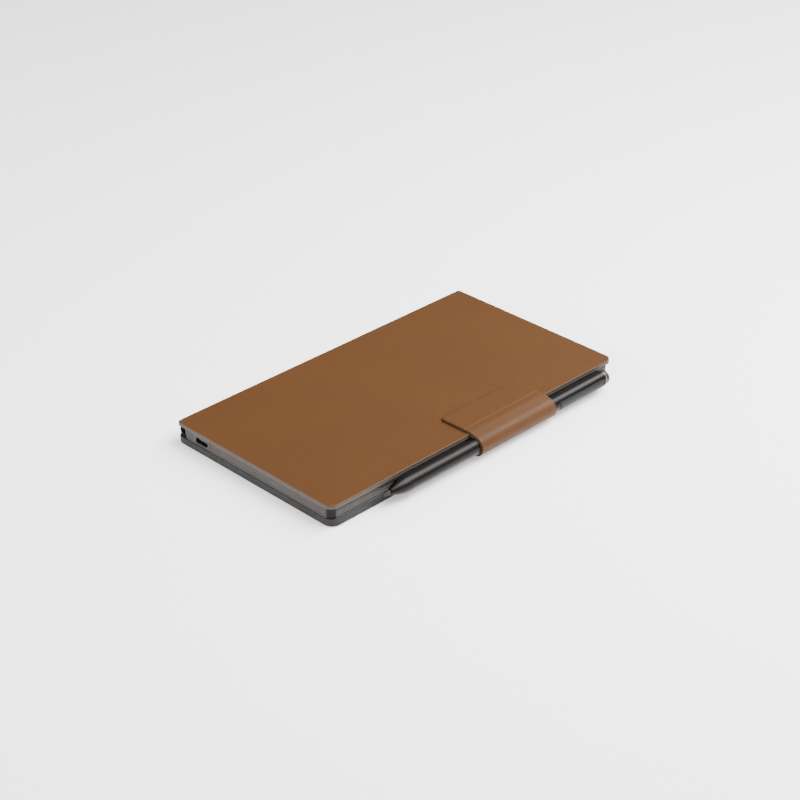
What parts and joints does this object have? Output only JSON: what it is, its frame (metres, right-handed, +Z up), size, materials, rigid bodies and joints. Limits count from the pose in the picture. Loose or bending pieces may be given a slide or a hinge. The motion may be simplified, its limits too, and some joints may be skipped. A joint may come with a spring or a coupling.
{
  "type": "e-paper tablet in a leather book folio",
  "caption": "Slim e-paper tablet in a brown leather book folio whose magnetic strap wraps round a stylus held along the long edge.",
  "frame": {"origin": "centre of the closed folio's cover footprint, on the flat underside of the back shell", "axes": "+Z up through the closed cover, +Y along the long edge away from the charging port, +X from the spine to the stylus"},
  "size_m": [0.1183, 0.1974, 0.0137],
  "materials": {
    "tan_leather": "fine pebble grain, satin, waxed cut edges",
    "lining": "light grey-brown microfibre",
    "dark_lining": "dark grey microfibre",
    "cover_board": "glass-fibre board, grey-brown cut edge",
    "shell_polymer": "moulded dark grey, fine texture",
    "frame_metal": "dark grey anodised, fine bead blast",
    "rear_polymer": "soft-touch dark grey",
    "screen_glass": "etched anti-glare",
    "epaper": "paper-white, matt",
    "light_guide": "clear film",
    "adhesive": "black foam tape",
    "circuit_board": "green solder mask",
    "chip": "black moulded package",
    "steel": "bright rolled sheet",
    "magnesium": "cast magnesium, matt",
    "magnet": "nickel plated",
    "cell_pouch": "foil pouch",
    "flex": "amber polyimide",
    "graphite": "graphite film",
    "copper": "lacquered copper wire",
    "pen_metal": "dark anodised, satin",
    "pen_panel": "dark grey, fine texture",
    "pen_ring": "polished chamfer",
    "nib_polymer": "hard felt-like polymer",
    "cap_rubber": "soft black"
  },
  "bodies": {
    "tablet_and_back": {"back_shell": "shell_polymer", "back_lining": "lining", "back_magnets": "magnet", "spine_anchor": "tan_leather", "strap_lower": "tan_leather", "strap_rivets": "steel", "tablet_frame": "frame_metal", "tablet_rear_cover": "rear_polymer", "cover_glass": "screen_glass", "display_gasket": "adhesive", "front_light_guide": "light_guide", "light_bar": "light_guide", "epaper_panel": "epaper", "pen_digitizer": "circuit_board", "mid_plate": "magnesium", "mid_plate_screws": "steel", "battery_cell": "cell_pouch", "battery_lead": "flex", "main_board": "circuit_board", "processor_and_memory": "chip", "shield_can": "steel", "usb_c_connector": "steel", "usb_c_tongue": "chip", "display_flex": "flex", "antennas": "circuit_board", "docking_magnets": "magnet", "heat_spreader": "graphite", "power_switch": "chip", "power_bracket": "steel"},
    "spine": {"spine_leather": "tan_leather", "spine_board": "cover_board", "spine_lining": "dark_lining"},
    "front_cover": {"front_cover_leather": "tan_leather", "front_cover_board": "cover_board", "front_cover_lining": "lining", "cover_magnets": "magnet", "strap_keeper": "steel"},
    "strap_flap": {"strap_tongue": "tan_leather", "strap_lining": "dark_lining", "strap_plate": "steel", "strap_magnets": "magnet"},
    "stylus": {"pen_barrel": "pen_metal", "pen_side_panel": "pen_panel", "pen_end_ring": "pen_ring", "pen_coil": "copper", "pressure_sensor": "circuit_board", "pen_circuit_board": "circuit_board", "pen_cell": "cell_pouch", "pen_magnets": "magnet", "eraser_sensor": "circuit_board"},
    "nib": {"pen_nib": "nib_polymer", "nib_holder": "nib_polymer"},
    "end_cap": {"pen_end_cap": "cap_rubber"},
    "power_key": {"power_button": "frame_metal"}
  },
  "joints": [
    {"name": "spine_fold", "type": "hinge", "parent": "tablet_and_back", "child": "spine", "pos_m": [-0.0545, 0, 0.0008], "axis": [0, -1, 0], "range_deg": [0, 90]},
    {"name": "cover_fold", "type": "hinge", "parent": "spine", "child": "front_cover", "pos_m": [-0.0545, 0, 0.0116], "axis": [0, -1, 0], "range_deg": [0, 90]},
    {"name": "strap_fold", "type": "hinge", "parent": "tablet_and_back", "child": "strap_flap", "pos_m": [0.06305, 0.0187, 0.00715], "axis": [0, 1, 0], "range_deg": [0, 176]},
    {"name": "stylus_slide", "type": "slide", "parent": "tablet_and_back", "child": "stylus", "axis": [0, 1, 0], "range_m": [0, 0.165]},
    {"name": "nib_press", "type": "slide", "parent": "stylus", "child": "nib", "axis": [0, 1, 0], "range_m": [0, 0.0004], "stiffness_N_per_m": 400, "springref_m": -0.0005},
    {"name": "end_cap_press", "type": "slide", "parent": "stylus", "child": "end_cap", "axis": [0, -1, 0], "range_m": [0, 0.0004], "stiffness_N_per_m": 400, "springref_m": -0.0005},
    {"name": "power_key_press", "type": "slide", "parent": "tablet_and_back", "child": "power_key", "axis": [0, -1, 0], "range_m": [0, 0.00035], "stiffness_N_per_m": 600, "springref_m": -0.0005}
  ]
}
